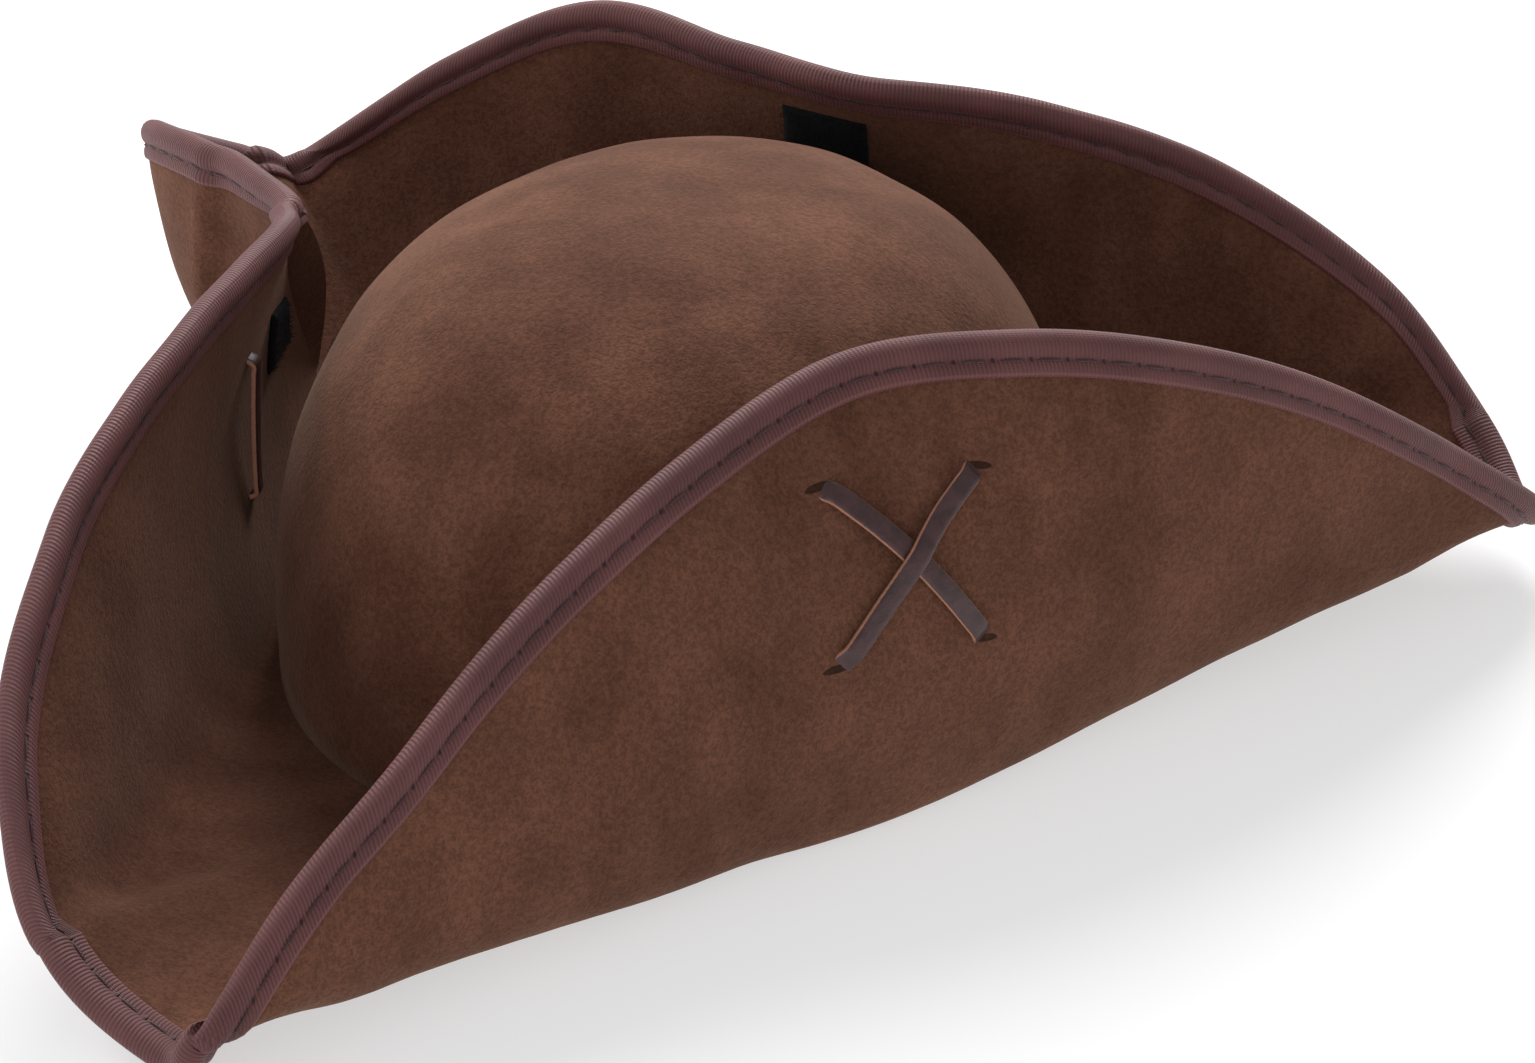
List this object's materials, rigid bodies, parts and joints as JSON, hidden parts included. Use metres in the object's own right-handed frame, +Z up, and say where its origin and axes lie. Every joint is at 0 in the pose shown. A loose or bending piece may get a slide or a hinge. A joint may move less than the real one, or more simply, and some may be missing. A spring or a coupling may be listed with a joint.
{
  "type": "tricorn hat",
  "caption": "Pirate tricorn hat of brown faux suede: a moulded crown on a wired brim turned up in three taped flaps, with leather lacing and hook-and-loop fasteners.",
  "frame": {"origin": "middle of the head opening, in the plane of the flat underside of the brim", "axes": "+Z up through the crown, -Y towards the front corner, +X towards the wearer's left"},
  "size_m": [0.3479, 0.3509, 0.1062],
  "materials": {
    "suede": "napped faux suede",
    "buckram": "stiff woven buckram",
    "lining": "smooth woven lining",
    "rim_tape": "ribbed grosgrain",
    "rim_wire": "drawn wire",
    "lace_leather": "smooth leather with raw edges",
    "hook_and_loop": "hook-and-loop pile"
  },
  "bodies": {
    "crown_and_brim": {"crown_suede": "suede", "crown_stiffener": "buckram", "crown_lining": "lining", "sweatband": "lining", "brim_base_outer_suede": "suede", "brim_base_stiffener": "buckram", "brim_base_inner_suede": "suede", "crown_hook_patch_left": "hook_and_loop", "crown_hook_patch_rear": "hook_and_loop", "crown_hook_patch_right": "hook_and_loop", "front_corner_rim_tape": "rim_tape", "front_corner_rim_wire": "rim_wire", "left_corner_rim_tape": "rim_tape", "left_corner_rim_wire": "rim_wire", "right_corner_rim_tape": "rim_tape", "right_corner_rim_wire": "rim_wire"},
    "left_flap": {"left_flap_outer_suede": "suede", "left_flap_stiffener": "buckram", "left_flap_inner_suede": "suede", "left_flap_rim_tape": "rim_tape", "left_flap_rim_wire": "rim_wire", "left_flap_loop_patch": "hook_and_loop", "left_flap_lace": "lace_leather"},
    "rear_flap": {"rear_flap_outer_suede": "suede", "rear_flap_stiffener": "buckram", "rear_flap_inner_suede": "suede", "rear_flap_rim_tape": "rim_tape", "rear_flap_rim_wire": "rim_wire", "rear_flap_loop_patch": "hook_and_loop"},
    "right_flap": {"right_flap_outer_suede": "suede", "right_flap_stiffener": "buckram", "right_flap_inner_suede": "suede", "right_flap_rim_tape": "rim_tape", "right_flap_rim_wire": "rim_wire", "right_flap_loop_patch": "hook_and_loop", "right_flap_lace": "lace_leather"}
  },
  "joints": [
    {"name": "left_fold", "type": "hinge", "parent": "crown_and_brim", "child": "left_flap", "pos_m": [-0.008, -0.213, 0.016], "axis": [0.5095, 0.8603, 0.0139], "range_deg": [0, 50]},
    {"name": "rear_fold", "type": "hinge", "parent": "crown_and_brim", "child": "rear_flap", "pos_m": [0.155, 0.123, 0.027], "axis": [-0.9927, -0.0784, 0.0914], "range_deg": [0, 40]},
    {"name": "right_fold", "type": "hinge", "parent": "crown_and_brim", "child": "right_flap", "pos_m": [-0.111, 0.033, 0.024], "axis": [0.2591, -0.9655, -0.0251], "range_deg": [0, 40]}
  ]
}
